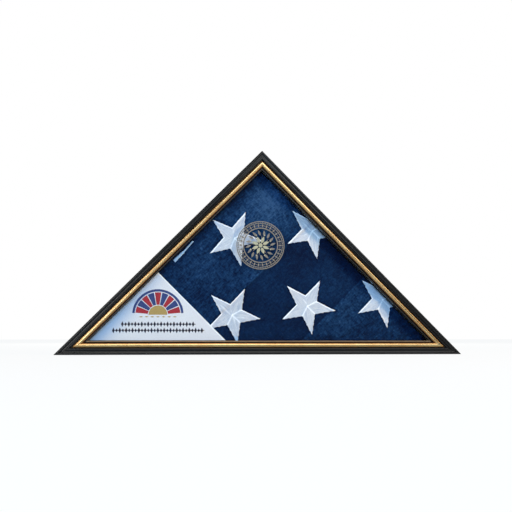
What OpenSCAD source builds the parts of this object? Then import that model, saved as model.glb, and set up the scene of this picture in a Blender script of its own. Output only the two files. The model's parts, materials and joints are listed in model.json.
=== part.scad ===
// Triangular display case for one flag folded in the traditional triangle.
// Seen from the front (looking along +Y) the case is a right isosceles triangle that stands on its
// long side. X runs along that side, Y runs from the glass to the back, Z is up.
// The origin is the centre of the underside.

/* [Case] */
// Overall length of the base, tip to tip
case_w = 660; // [560:5:760]
// Depth of the box boards, from the moulding to the rear edge
box_d = 76; // [60:1:100]
// Thickness of the box boards
wall_t = 19; // [17:0.5:20]
// Width of the rear lip left outside the back panel's rabbet
rear_lip_w = 12.5; // [12.5:0.1:14]
// Small bevel on the outer edges of the boards
edge_bevel = 0.8; // [0.4:0.1:1.2]
// Hairline gap on each side of a mitre
mitre_gap = 0.03; // [0.02:0.01:0.1]

/* [Moulding] */
// Width of the moulding's face, from the outer edge to the sight edge
mould_w = 22.2; // [21.5:0.1:26]
// Height of the moulding at its outer edge
mould_t = 15; // [14:0.5:18]
// Radius of the rounded outer edge
shoulder_r = 2.5; // [1.5:0.1:3]
// Width of the hollow between the outer shoulder and the small roll
cove_w = 4.6; // [3:0.1:4.8]
// Depth of that hollow
cove_d = 1.7; // [1:0.1:2.2]
// Radius of the small roll between the hollow and the bead
roll_r = 1.3; // [0.8:0.1:1.4]
// How much lower that roll is than the outer shoulder
roll_drop = 0.8; // [0:0.1:1.5]
// Width of the gilt bead
bead_w = 8; // [6:0.1:9]
// Distance from the outer edge to the bead
bead_inset = 11; // [10.6:0.1:12]
// Width of the quirk between the small roll and the bead
quirk_w = 0.8; // [0.6:0.1:1.2]
// Height of the square foot under the bead's half round
bead_foot_h = 0.9; // [0.4:0.1:1.5]
// Gap between the bead and the inner lip
bead_gap = 0.2; // [0.1:0.05:0.4]
// Height of the bead's seat above the back of the moulding
bead_seat_h = 9.5; // [9:0.1:10.5]
// Height of the rounded inner lip above the back of the moulding
lip_h = 11.2; // [10.6:0.1:12]

/* [Glazing] */
// Thickness of the glass
glass_t = 2.5; // [2:0.1:3]
// Width of the rabbet that takes the glass
glass_rabbet_w = 6; // [5:0.1:7]
// Depth of that rabbet
glass_rabbet_d = 7; // [6:0.1:7.5]
// Play all round the glass
glass_play = 1; // [0.5:0.1:1.5]
// How far the spacer strips reach behind the moulding
spacer_reach = 3; // [2:0.5:12]

/* [Flag and card] */
// Play between the folded flag and the boards
flag_play = 1; // [0.5:0.1:4]
// Play between the folded flag and the spacers, and between it and the back panel
flag_seat_gap = 0.3; // [0.2:0.1:1]
// Radius of the folded flag's corners
flag_corner_r = 7; // [4:0.5:14]
// Size of the bevel round the folded flag's front and back
flag_edge = 5; // [3:0.5:12]
// Diameter of an embroidered star
star_d = 94; // [80:1:100]
// Height of the embroidery
star_t = 0.8; // [0.4:0.1:1.2]
// Spacing of the star columns along the flag
star_step_fly = 96.5; // [90:0.5:100]
// Spacing of the star rows across the flag
star_step_hoist = 82; // [76:0.5:86]
// Place of the middle star of the lower row, left or right of the centre
star_origin_x = -50; // [-60:1:-30]
// Height of that star's centre above the underside
star_origin_z = 65; // [60:1:90]
// Length of the card's hypotenuse
card_w = 218; // [150:1:260]
// Thickness of the card
card_t = 0.8; // [0.4:0.1:1.5]

/* [Back] */
// Thickness of the back panel
panel_t = 5; // [3:0.1:6]
// Play all round the back panel
panel_play = 0.3; // [0.2:0.05:0.8]
// How far the back panel lies below the rear edge of the boards
panel_sunk = 0.4; // [0.2:0.1:1]
// Gap between the back panel and the ledge that it lies on
panel_bed = 0.04; // [0.02:0.01:0.1]
// Distance of the base's turn buttons from the centre
base_button_x = 150; // [100:5:200]
// Distance of each leg's turn button from the apex, along the leg
leg_button_s = 245; // [200:5:300]
// Length of a turn button from its screw to its tip
button_l = 24; // [20:0.5:28]
// Width of a turn button
button_w = 10; // [8:0.1:12]
// Thickness of a turn button
button_t = 1.2; // [0.8:0.1:1.6]

/* [Hangers and bumpers] */
// Distance of each hanger's ring from the apex, along the leg
hanger_s = 95; // [70:5:140]
// Width of the hanger's strap
strap_w = 8; // [7:0.1:9]
// Thickness of the strap
strap_t = 1.1; // [0.8:0.1:1.4]
// Length of the strap from its curl to its end
strap_l = 27; // [26:0.5:32]
// Radius of the ring's wire
ring_wire_r = 1; // [0.8:0.05:1.1]
// Radius of the ring's bend, at the middle of the wire
ring_bend_r = 5.2; // [5:0.05:5.3]
// Length of the ring's straight sides
ring_side_l = 6; // [5.5:0.1:7]
// Distance of each bumper from the centre
bumper_x = 268; // [230:2:275]
// Radius of a bumper
bumper_r = 5.5; // [4:0.1:6]
// Height of a bumper, more than the hangers stand proud
bumper_h = 5.2; // [5:0.1:8]

/* [Fasteners] */
// Radius of the small screws
screw_r = 1.75; // [1.5:0.05:2]
// Radius of their heads
screw_head_r = 3.5; // [3:0.1:4]
// Height of their heads
screw_head_h = 2.2; // [1.8:0.1:2.6]
// Length of their shanks below the board's surface
screw_l = 13; // [10:0.5:16]
// Radial gap between a pivot and what turns on it
pivot_gap = 0.08; // [0.05:0.01:0.1]
// Radius of the steel pins in the box corners
pin_r = 0.8; // [0.6:0.05:1]
// Depth that the pins reach below the board's face
pin_l = 26; // [22:0.5:28]
// Spacing of the pins along the depth of the box
pin_spacing = 22; // [16:1:26]
// Radial gap between a driven fastener and the wood
driven_gap = 0.04; // [0.02:0.01:0.05]
// Depth of the V nails that close the moulding's mitres
vnail_h = 8; // [6:0.5:9]

/* [Hidden] */
$fn = 96;

// The triangle: 45 degrees at both tips and 90 at the apex.
half_base = case_w / 2;
half_leg = case_w / (2 * sqrt(2));
tip_mitre = 22.5;
apex_mitre = 45;

// Depths along Y. The origin is at half of the depth from the moulding to the bumpers.
front_y = -(mould_t + box_d + bumper_h) / 2;
mould_back_y = front_y + mould_t;
rear_y = mould_back_y + box_d;
glass_front_y = mould_back_y - glass_rabbet_d;
glass_back_y = glass_front_y + glass_t;
spacer_back_y = mould_back_y + spacer_reach;
panel_front_y = rear_y - panel_sunk - panel_t;
flag_front_y = spacer_back_y + flag_seat_gap;
flag_back_y = panel_front_y - flag_seat_gap;
card_back_y = flag_front_y - star_t - 0.1;
box_mid_y = (mould_back_y + rear_y) / 2;

// Insets from the outer edge, measured square to each side.
lip_mid = rear_lip_w / 2;
panel_inset = rear_lip_w + panel_play;
glass_inset = mould_w - glass_rabbet_w + glass_play;
flag_inset = wall_t + flag_play;
card_inset = mould_w + 0.4;

// Small parts.
proud_gap = 0.2;
button_back_h = proud_gap + button_t;
head_seat_h = button_back_h + 0.15;
curl_in_r = ring_wire_r + pivot_gap;
curl_out_r = curl_in_r + strap_t;
strap_hole_x = strap_l - 6;
pilot_r = screw_r + driven_gap;
pin_sunk = 0.3;
apex_pin_s = wall_t / 2;
tip_pin_s = 34;
tip_vnail_s = 27;
apex_vnail_s = 14;
vnail_arm = 5;
vnail_t = 0.5;

// ---- the triangle and its sides ----

// Distance from a corner to where a line inset by d meets the side's mitre.
function tip_run(d) = d / tan(tip_mitre);
function apex_run(d) = d / tan(apex_mitre);

// Corners of the triangle inset by d on every side: left tip, right tip, apex, as [x, z].
function inset_corners(d) = [
    [-half_base + tip_run(d), d],
    [half_base - tip_run(d), d],
    [0, half_base - d * sqrt(2)],
];

module triangle(d) {
    polygon(inset_corners(d));
}

// A triangle with rounded corners, its straight edges inset by d.
module rounded_triangle(d, r) {
    c = inset_corners(d + r);
    for (p = c) translate(p) circle(r);
    k = r * sin(45);
    polygon([
        [c[0].x, c[0].y - r], [c[1].x, c[1].y - r],
        [c[1].x + k, c[1].y + k], [c[2].x + k, c[2].y + k],
        [c[2].x - k, c[2].y + k], [c[0].x - k, c[0].y + k],
    ]);
}

// Turns a shape drawn in the XZ plane, as [x, z], into a plate from y0 back to y1.
module plate(y0, y1) {
    translate([0, y1, 0]) rotate([90, 0, 0]) linear_extrude(y1 - y0) children();
}

// Places children drawn for the base onto a leg: X along the leg away from the apex, Z inwards.
module on_left_leg() {
    translate([-half_base / 2, 0, half_base / 2]) rotate([0, 135, 0]) children();
}

module mirrored() {
    mirror([1, 0, 0]) children();
}

// The region that belongs to one side: bounded by the side and the mitres at its two ends.
module mitre_wedge(half, mitre_neg, mitre_pos) {
    x0 = -half + mitre_gap / sin(mitre_neg);
    x1 = half - mitre_gap / sin(mitre_pos);
    t0 = tan(mitre_neg);
    t1 = tan(mitre_pos);
    top = (x1 - x0) * t0 * t1 / (t0 + t1);
    polygon([[x0, 0], [x1, 0], [x0 + top / t0, top]]);
}

// A length of one section, mitred to a side. The section is drawn as [y, inset].
module rail(half, mitre_neg, mitre_pos) {
    intersection() {
        rotate([90, 0, 90]) linear_extrude(2 * half, center = true) children();
        plate(front_y - 1, rear_y + 1) mitre_wedge(half, mitre_neg, mitre_pos);
    }
}

module base_rail() {
    rail(half_base, tip_mitre, tip_mitre) children();
}

module left_rail() {
    on_left_leg() rail(half_leg, apex_mitre, tip_mitre) children();
}

// ---- sections, drawn as [y, inset] ----

// Rectangle from inset u0 to u1 and from height v0 to v1 above the moulding's back.
module mould_box(u0, u1, v0, v1) {
    translate([mould_back_y - v1, u0]) square([v1 - v0, u1 - u0]);
}

module mould_circle(u, v, r) {
    translate([mould_back_y - v, u]) circle(r);
}

module moulding_section() {
    cove_mid = shoulder_r + 0.6 + cove_w / 2;
    cove_r = (pow(cove_w / 2, 2) + pow(cove_d, 2)) / (2 * cove_d);
    roll_mid = bead_inset - quirk_w - roll_r;
    roll_top = mould_t - roll_drop;
    lip_edge = bead_inset + bead_w + bead_gap;
    nose_r = (mould_w - lip_edge) / 2;
    difference() {
        union() {
            mould_box(0, mould_w, 0, bead_seat_h);
            mould_box(shoulder_r, cove_mid, 0, mould_t);
            mould_box(0, shoulder_r, 0, mould_t - shoulder_r);
            mould_circle(shoulder_r, mould_t - shoulder_r, shoulder_r);
            mould_box(cove_mid, roll_mid, 0, roll_top);
            mould_box(roll_mid, roll_mid + roll_r, 0, roll_top - roll_r);
            mould_circle(roll_mid, roll_top - roll_r, roll_r);
            mould_box(lip_edge, mould_w, 0, lip_h - nose_r);
            mould_circle(lip_edge + nose_r, lip_h - nose_r, nose_r);
        }
        mould_circle(cove_mid, mould_t - cove_d + cove_r, cove_r);
        mould_box(mould_w - glass_rabbet_w, mould_w + 1, -1, glass_rabbet_d);
        translate([mould_back_y, 0]) rotate(45) square(edge_bevel * sqrt(2), center = true);
    }
}

module bead_section() {
    r = bead_w / 2;
    mould_box(bead_inset, bead_inset + bead_w, bead_seat_h, bead_seat_h + bead_foot_h);
    intersection() {
        mould_circle(bead_inset + r, bead_seat_h + bead_foot_h, r);
        mould_box(bead_inset, bead_inset + bead_w, bead_seat_h, mould_t + r);
    }
}

module spacer_section() {
    translate([glass_back_y, wall_t]) square([spacer_back_y - glass_back_y, mould_w - wall_t]);
}

module wall_section() {
    difference() {
        translate([mould_back_y, 0]) square([box_d, wall_t]);
        translate([panel_front_y, rear_lip_w]) square([box_d, wall_t]);
        for (y = [mould_back_y, rear_y])
            translate([y, 0]) rotate(45) square(edge_bevel * sqrt(2), center = true);
    }
}

// ---- fasteners ----

// Pan head screw standing along +Y: the board's surface is at y = 0, the head's seat at seat_h.
module pan_screw(seat_h) {
    slot_w = 0.9;
    slot_l = screw_head_r * 1.25;
    dome_r = (pow(screw_head_r, 2) + pow(screw_head_h, 2)) / (2 * screw_head_h) + 0.6;
    rotate([-90, 0, 0]) {
        translate([0, 0, -screw_l + 3]) cylinder(h = screw_l - 3 + seat_h, r = screw_r);
        translate([0, 0, -screw_l]) cylinder(h = 3, r1 = 0.2, r2 = screw_r);
        difference() {
            intersection() {
                translate([0, 0, seat_h]) cylinder(h = screw_head_h, r = screw_head_r);
                translate([0, 0, seat_h + screw_head_h - dome_r]) sphere(dome_r);
            }
            for (a = [0, 90])
                rotate(a) translate([0, 0, seat_h + screw_head_h])
                    cube([slot_l, slot_w, 2.4], center = true);
        }
    }
}

// The hole that a screw is driven into, cut down from the surface at y = 0.
module screw_hole() {
    rotate([-90, 0, 0]) {
        translate([0, 0, -screw_l + 3]) cylinder(h = screw_l, r = pilot_r);
        translate([0, 0, -screw_l - 0.1]) cylinder(h = 3.1, r1 = 0.3, r2 = pilot_r);
    }
}

// Where the screws stand on a leg and on the base.
module at_leg_button() {
    on_left_leg() translate([leg_button_s - half_leg, rear_y, lip_mid]) children();
}

module at_base_button() {
    translate([-base_button_x, rear_y, lip_mid]) children();
}

module at_hanger() {
    on_left_leg() translate([hanger_s - half_leg, rear_y, lip_mid]) children();
}

// A steel pin driven square to the left leg's outer face, or the hole for it.
module corner_pin(s, y, hole) {
    z0 = hole ? -1 : pin_sunk;
    gap = hole ? driven_gap : 0;
    on_left_leg() translate([s, y, z0]) cylinder(h = pin_l + gap - z0, r = pin_r + gap);
}

module pin_row(s, hole) {
    for (i = [-1, 0, 1]) corner_pin(s, box_mid_y + i * pin_spacing, hole);
}

module tip_pins(hole) {
    pin_row(half_leg - tip_pin_s, hole);
}

module apex_pins(hole) {
    pin_row(-half_leg + apex_pin_s, hole);
}

// Section of a V nail with its point towards +X, grown by gap all round.
module v_nail(gap) {
    rotate(135) translate([-gap, -gap]) difference() {
        square(vnail_arm + 2 * gap);
        translate([1, 1] * (vnail_t + 2 * gap)) square(vnail_arm + 1);
    }
}

// The three V nails, or their slots, driven across the mitres from the moulding's back.
module v_nails(gap) {
    plate(mould_back_y - vnail_h - gap, mould_back_y + (gap > 0 ? 1 : 0)) {
        for (m = [0, 1]) mirror([m, 0])
            translate([-half_base, 0]) rotate(tip_mitre) translate([tip_vnail_s, 0]) v_nail(gap);
        translate([0, half_base - apex_vnail_s]) rotate(-90) v_nail(gap);
    }
}

// Solid whose plan is drawn in the rim's plane, as [along, inwards], from height h0 to h1 above it.
module on_rim(h0, h1) {
    translate([0, h1, 0]) rotate([90, 0, 0]) linear_extrude(h1 - h0) children();
}

// ---- the pieces ----

module moulding_left() {
    color("#1b1b1d") difference() {
        left_rail() moulding_section();
        v_nails(driven_gap);
    }
}

module moulding_right() {
    mirrored() moulding_left();
}

module moulding_base() {
    color("#1b1b1d") difference() {
        base_rail() moulding_section();
        v_nails(driven_gap);
    }
}

module bead_left() {
    color("#c9983f") left_rail() bead_section();
}

module bead_right() {
    mirrored() bead_left();
}

module bead_base() {
    color("#c9983f") base_rail() bead_section();
}

module glass_pane() {
    color("#dfe9ee", 0.3) plate(glass_front_y, glass_back_y) triangle(glass_inset);
}

module spacer_left() {
    color("#111113") left_rail() spacer_section();
}

module spacer_right() {
    mirrored() spacer_left();
}

module spacer_base() {
    color("#111113") base_rail() spacer_section();
}

module wall_left() {
    color("#202022") difference() {
        left_rail() wall_section();
        at_leg_button() screw_hole();
        at_hanger() translate([strap_hole_x, 0, 0]) screw_hole();
        tip_pins(true);
        apex_pins(true);
    }
}

module wall_right() {
    color("#202022") difference() {
        mirrored() left_rail() wall_section();
        mirrored() at_leg_button() screw_hole();
        mirrored() at_hanger() translate([strap_hole_x, 0, 0]) screw_hole();
        mirrored() tip_pins(true);
        apex_pins(true);
    }
}

module wall_base() {
    color("#202022") difference() {
        base_rail() wall_section();
        at_base_button() screw_hole();
        mirrored() at_base_button() screw_hole();
        tip_pins(true);
        mirrored() tip_pins(true);
    }
}

module corner_v_nails() {
    color("#9a9ca0") v_nails(0);
}

module corner_pins() {
    color("#9a9ca0") {
        apex_pins(false);
        tip_pins(false);
        mirrored() tip_pins(false);
    }
}

module folded_flag() {
    color("#17305a") hull() {
        plate(flag_front_y + flag_edge, flag_back_y - flag_edge)
            rounded_triangle(wall_t + flag_play, flag_corner_r, $fn = 32);
        plate(flag_front_y, flag_back_y)
            rounded_triangle(wall_t + flag_play + flag_edge, flag_corner_r, $fn = 32);
    }
}

// Five-pointed star with its first point along +X.
module star(d) {
    r = d / 2;
    inner_r = r * sin(18) / sin(54);
    polygon([for (k = [0:9]) let (q = k % 2 == 0 ? r : inner_r) [q * cos(36 * k), q * sin(36 * k)]]);
}

// The stars stand in staggered rows along the 45 degree fold.
module flag_stars() {
    face_inset = wall_t + flag_play + flag_edge;
    origin = [star_origin_x, star_origin_z];
    fly = [1, 1] * star_step_fly / sqrt(2);
    hoist = [-1, 1] * star_step_hoist / sqrt(2);
    color("#e8ecf2") plate(flag_front_y - star_t, flag_front_y) intersection() {
        triangle(face_inset);
        for (i = [-4:4], j = [-4:4]) {
            p = origin + i * fly + j * hoist;
            edge = min(p.y, (half_base - abs(p.x) - p.y) / sqrt(2));
            if ((i + j) % 2 == 0 && edge > face_inset) translate(p) rotate(135) star(star_d);
        }
    }
}

module corner_card() {
    tip = inset_corners(card_inset)[0];
    color("#eef1f5") plate(card_back_y - card_t, card_back_y) translate(tip)
        polygon([[0, 0], [card_w, 0], [card_w / 2, card_w / 2]]);
}

module back_panel() {
    color("#5b4632") translate([0, panel_bed, 0])
        plate(panel_front_y, panel_front_y + panel_t) triangle(panel_inset);
}

// Flat steel button that turns on its screw, drawn parked along the rim.
module turn_button() {
    r = button_w / 2;
    tip_x = button_l - r;
    difference() {
        union() {
            on_rim(proud_gap, button_back_h) {
                circle(r);
                translate([0, -r]) square([tip_x, button_w]);
                translate([tip_x, 0]) circle(r);
            }
            translate([tip_x, button_back_h, -r + 1.5]) cylinder(h = button_w - 3, r = 0.8);
        }
        on_rim(0, button_back_h + 1) circle(screw_r + pivot_gap);
    }
}

module turn_button_left() {
    color("#b9975b") at_leg_button() turn_button();
}

module turn_button_right() {
    mirrored() turn_button_left();
}

module turn_button_base_left() {
    color("#b9975b") at_base_button() turn_button();
}

module turn_button_base_right() {
    mirrored() turn_button_base_left();
}

module turn_button_screws() {
    color("#c4a264") for (m = [0, 1]) mirror([m, 0, 0]) {
        at_leg_button() pan_screw(head_seat_h);
        at_base_button() pan_screw(head_seat_h);
    }
}

// Strap with a curl that holds the ring's straight side; its end is screwed to the rim.
module hanger_strap() {
    r = strap_w / 2;
    translate([0, curl_out_r, -r]) difference() {
        cylinder(h = strap_w, r = curl_out_r);
        translate([0, 0, -1]) cylinder(h = strap_w + 2, r = curl_in_r);
    }
    difference() {
        on_rim(0, strap_t) {
            translate([0, -r]) square([strap_l - r, strap_w]);
            translate([strap_l - r, 0]) circle(r);
        }
        translate([0, curl_out_r, -r - 1]) cylinder(h = strap_w + 2, r = curl_in_r);
        on_rim(-1, strap_t + 1) translate([strap_hole_x, 0]) circle(screw_r + driven_gap);
    }
}

module hanger_strap_left() {
    color("#b9bcc0") at_hanger() hanger_strap();
}

module hanger_strap_right() {
    mirrored() hanger_strap_left();
}

// D ring of round wire: straight side in the curl, two sides and a half circle towards the apex.
module hanger_ring() {
    translate([0, curl_out_r, 0]) {
        translate([0, 0, -ring_bend_r]) cylinder(h = 2 * ring_bend_r, r = ring_wire_r);
        for (z = [-1, 1]) translate([0, 0, z * ring_bend_r]) {
            sphere(ring_wire_r);
            rotate([0, -90, 0]) cylinder(h = ring_side_l, r = ring_wire_r);
        }
        translate([-ring_side_l, 0, 0]) rotate([90, 0, 0]) rotate(90)
            rotate_extrude(angle = 180) translate([ring_bend_r, 0]) circle(ring_wire_r);
    }
}

module hanger_ring_left() {
    color("#c9ccd0") at_hanger() hanger_ring();
}

module hanger_ring_right() {
    mirrored() hanger_ring_left();
}

module hanger_screws() {
    color("#c9ccd0") for (m = [0, 1]) mirror([m, 0, 0])
        at_hanger() translate([strap_hole_x, 0, 0]) pan_screw(strap_t);
}

module wall_bumpers() {
    color("#2a2a2c") for (m = [-1, 1])
        translate([m * bumper_x, rear_y, lip_mid]) rotate([-90, 0, 0]) {
            cylinder(h = bumper_h - 1, r = bumper_r);
            translate([0, 0, bumper_h - 1]) cylinder(h = 1, r1 = bumper_r, r2 = bumper_r - 1);
        }
}

moulding_left();
moulding_right();
moulding_base();
bead_left();
bead_right();
bead_base();
glass_pane();
spacer_left();
spacer_right();
spacer_base();
wall_left();
wall_right();
wall_base();
corner_v_nails();
corner_pins();
folded_flag();
flag_stars();
corner_card();
back_panel();
turn_button_left();
turn_button_right();
turn_button_base_left();
turn_button_base_right();
turn_button_screws();
hanger_strap_left();
hanger_strap_right();
hanger_ring_left();
hanger_ring_right();
hanger_screws();
wall_bumpers();
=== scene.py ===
import json
import math
import bpy
import bmesh
import numpy as np
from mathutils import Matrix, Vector


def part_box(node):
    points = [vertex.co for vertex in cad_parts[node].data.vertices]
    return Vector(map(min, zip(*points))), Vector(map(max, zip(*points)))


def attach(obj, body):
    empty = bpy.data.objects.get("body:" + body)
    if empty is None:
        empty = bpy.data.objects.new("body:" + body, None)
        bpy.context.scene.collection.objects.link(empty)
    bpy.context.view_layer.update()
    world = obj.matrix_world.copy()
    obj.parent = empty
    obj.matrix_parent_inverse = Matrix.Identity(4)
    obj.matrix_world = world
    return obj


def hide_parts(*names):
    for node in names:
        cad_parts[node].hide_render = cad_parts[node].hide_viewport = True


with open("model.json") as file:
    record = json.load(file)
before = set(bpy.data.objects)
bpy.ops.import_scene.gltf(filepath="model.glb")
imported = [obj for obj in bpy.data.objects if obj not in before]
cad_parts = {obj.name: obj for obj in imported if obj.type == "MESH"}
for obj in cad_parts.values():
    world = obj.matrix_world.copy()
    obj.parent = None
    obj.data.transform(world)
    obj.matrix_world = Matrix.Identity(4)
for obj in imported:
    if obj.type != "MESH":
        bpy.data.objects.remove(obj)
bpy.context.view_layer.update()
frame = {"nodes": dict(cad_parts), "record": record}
mm = 0.001
root2 = math.sqrt(2)
print("frame loaded:", len(frame["nodes"]), "nodes")

# sizes read from the frame

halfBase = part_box("wall_base")[1].x
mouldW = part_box("moulding_base")[1].z
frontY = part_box("moulding_base")[0].y
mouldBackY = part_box("moulding_base")[1].y
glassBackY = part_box("glass_pane")[1].y
flagLow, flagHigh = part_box("folded_flag")
flagInset = flagLow.z
cardLow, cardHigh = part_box("corner_card")
inRadius = halfBase * (root2 - 1)  # every side of the triangle is this far from its middle


def sideDistances(x, z):
    # distance of each point from the base, the left leg and the right leg, inwards positive
    return z, (x - z + halfBase) / root2, (halfBase - x - z) / root2


def insetCorners(d):
    # left tip, right tip and apex of the triangle inset by d
    run = d / math.tan(math.radians(22.5))
    return np.array([[-halfBase + run, d], [halfBase - run, d], [0, halfBase - d * root2]])


# mesh helpers

def makePiece(name, verts, faces, material, uvs=None, attributes=None, sharpDeg=40, body="root"):
    # verts (n,3), faces a list of index lists or arrays, uvs (n,2) and attributes {name: (n,)} are per vertex
    mesh = bpy.data.meshes.new(name)
    rows = []
    for block in faces:
        rows.extend(np.asarray(block).tolist())
    mesh.from_pydata(np.asarray(verts, float).tolist(), [], rows)
    corners = np.empty(len(mesh.loops), np.int32)
    mesh.loops.foreach_get("vertex_index", corners)
    if uvs is not None:
        layer = mesh.uv_layers.new(name="UVMap")
        layer.data.foreach_set("uv", np.asarray(uvs, np.float32)[corners].ravel())
    for key, values in (attributes or {}).items():
        layer = mesh.attributes.new(key, "FLOAT", "POINT")
        layer.data.foreach_set("value", np.asarray(values, np.float32))
    mesh.polygons.foreach_set("use_smooth", np.ones(len(mesh.polygons), bool))
    mesh.set_sharp_from_angle(angle=math.radians(sharpDeg))
    mesh.materials.append(material)
    mesh.update()
    piece = bpy.data.objects.new(name, mesh)
    bpy.context.scene.collection.objects.link(piece)
    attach(piece, body)
    return piece


def gridFaces(rows, cols, closeCols=False, start=0):
    # quads of a rows x cols grid of points stored row by row
    r = np.arange(rows - 1)[:, None]
    c = np.arange(cols if closeCols else cols - 1)[None, :]
    nextC = (c + 1) % cols
    quads = np.stack([r * cols + c, r * cols + nextC, (r + 1) * cols + nextC, (r + 1) * cols + c], -1)
    return quads.reshape(-1, 4) + start


def closedRings(rows, count):
    # faces of rings stored row by row, each end closed by a fan; the two poles are stored after the rings
    c = np.arange(count)
    nextC = (c + 1) % count
    pole, lastRow = rows * count, (rows - 1) * count
    fans = [np.stack([np.full(count, pole), nextC, c], 1),
            np.stack([np.full(count, pole + 1), lastRow + c, lastRow + nextC], 1)]
    return [gridFaces(rows, count, True), *fans]


def faceOutwards(piece, mergeDist=0.0):
    # merges doubles and turns every face of a closed piece outwards
    mesh = bmesh.new()
    mesh.from_mesh(piece.data)
    if mergeDist:
        bmesh.ops.remove_doubles(mesh, verts=mesh.verts, dist=mergeDist)
    bmesh.ops.recalc_face_normals(mesh, faces=mesh.faces)
    if mesh.calc_volume(signed=True) < 0:
        bmesh.ops.reverse_faces(mesh, faces=mesh.faces)
    mesh.to_mesh(piece.data)
    mesh.free()


def waveField(x, z, seed, count, shortest, longest, direction=0, spread=math.pi):
    # smooth random field, about -1 to 1: a sum of sine waves with seeded directions, lengths and phases
    rng = np.random.default_rng(seed)
    lengths = np.exp(rng.uniform(math.log(shortest), math.log(longest), count))
    angles = direction + rng.uniform(-spread, spread, count)
    phases = rng.uniform(0, 2 * math.pi, count)
    weights = lengths / lengths.sum()
    total = np.zeros_like(x, dtype=float)
    for length, angle, phase, weight in zip(lengths, angles, phases, weights):
        total += weight * np.sin(2 * math.pi * (x * math.cos(angle) + z * math.sin(angle)) / length + phase)
    return total * math.sqrt(count) / 1.4


def smoothStep(low, high, value):
    # 0 at low and 1 at high, level at both ends
    t = np.clip((value - low) / (high - low), 0, 1)
    return t * t * (3 - 2 * t)


def heading(degrees):
    # unit vector at an angle, anticlockwise from the right
    angle = math.radians(degrees)
    return np.array([math.cos(angle), math.sin(angle)])


# material helpers

class Finish:
    # a material with its Principled shader and short calls for the nodes in front of it
    def __init__(self, name, color, roughness, metallic=0.0, **sockets):
        self.material = bpy.data.materials.new(name)
        self.material.use_nodes = True
        self.tree = self.material.node_tree
        self.shader = self.tree.nodes["Principled BSDF"]
        self.shader.inputs["Base Color"].default_value = (*color, 1)
        self.shader.inputs["Roughness"].default_value = roughness
        self.shader.inputs["Metallic"].default_value = metallic
        for key, value in sockets.items():
            self.shader.inputs[key.replace("_", " ")].default_value = value
        self.coords = self.tree.nodes.new("ShaderNodeTexCoord")
        self.lastBump = None

    def node(self, kind, **values):
        made = self.tree.nodes.new("ShaderNode" + kind)
        for key, value in values.items():
            if hasattr(made, key):
                setattr(made, key, value)
            else:
                made.inputs[key.replace("_", " ")].default_value = value
        return made

    def link(self, source, target):
        self.tree.links.new(source, target)

    def place(self, scale=(1, 1, 1), turn=(0, 0, 0), source="Object"):
        # turned first, then stretched along the turned axes
        where = self.coords.outputs[source]
        for key, value in (("Rotation", turn), ("Scale", scale)):
            mapping = self.node("Mapping")
            mapping.inputs[key].default_value = value
            self.link(where, mapping.inputs["Vector"])
            where = mapping.outputs["Vector"]
        return where

    def noise(self, scale, detail=3.0, roughness=0.55, distortion=0.0, where=None):
        made = self.node("TexNoise", Scale=scale, Detail=detail, Roughness=roughness, Distortion=distortion)
        self.link(where or self.place(), made.inputs["Vector"])
        return made.outputs["Fac"]

    def ramp(self, value, stops):
        made = self.node("ValToRGB")
        elements = made.color_ramp.elements
        while len(elements) < len(stops):
            elements.new(0.5)
        for element, (position, color) in zip(elements, stops):
            element.position = position
            element.color = (*color, 1)
        self.link(value, made.inputs["Fac"])
        return made.outputs["Color"]

    def greyRamp(self, value, stops):
        return self.ramp(value, [(position, (level,) * 3) for position, level in stops])

    def attribute(self, name):
        return self.node("Attribute", attribute_name=name).outputs["Fac"]

    def along(self, direction, offset=0.0):
        # distance of a point along a direction, in metres
        made = self.node("VectorMath", operation="DOT_PRODUCT")
        made.inputs[1].default_value = direction
        self.link(self.coords.outputs["Object"], made.inputs[0])
        return self.add(made.outputs["Value"], offset)

    def math(self, operation, *values):
        # each value is a number or a socket
        made = self.node("Math", operation=operation)
        for socket, value in zip(made.inputs, values):
            if isinstance(value, (int, float)):
                socket.default_value = value
            else:
                self.link(value, socket)
        return made.outputs[0]

    def add(self, a, b):
        return self.math("ADD", a, b)

    def times(self, a, b):
        return self.math("MULTIPLY", a, b)

    def weigh(self, start, *terms):
        # start, and to it each value times its weight
        for value, weight in terms:
            start = self.math("MULTIPLY_ADD", value, weight, start)
        return start

    def mix(self, factor, a, b):
        made = self.node("Mix", data_type="RGBA")
        for socket, value in zip((made.inputs[0], made.inputs[6], made.inputs[7]), (factor, a, b)):
            if isinstance(value, (int, float)):
                socket.default_value = value
            elif isinstance(value, tuple):
                socket.default_value = (*value, 1)
            else:
                self.link(value, socket)
        return made.outputs[2]

    def bump(self, height, distance, strength=1.0):
        made = self.node("Bump", Strength=strength, Distance=distance)
        self.link(height, made.inputs["Height"])
        if self.lastBump:
            self.link(self.lastBump, made.inputs["Normal"])
        self.lastBump = made.outputs["Normal"]
        self.link(self.lastBump, self.shader.inputs["Normal"])

    def color(self, socket):
        self.link(socket, self.shader.inputs["Base Color"])

    def roughness(self, value, low, high):
        # low where value is 0 and high where it is 1
        self.link(self.weigh(low, (value, high - low)), self.shader.inputs["Roughness"])


# camera

view = {
    "distance": 1.80,  # metres from the middle of the case's foot
    "aroundDeg": 7.65,  # to the viewer's left of straight ahead
    "height": 0.0313,  # above the surface that the case stands on
    "panDeg": -0.126,
    "pitchDeg": 4.145,
    "lens": 76.65,
}


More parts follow.
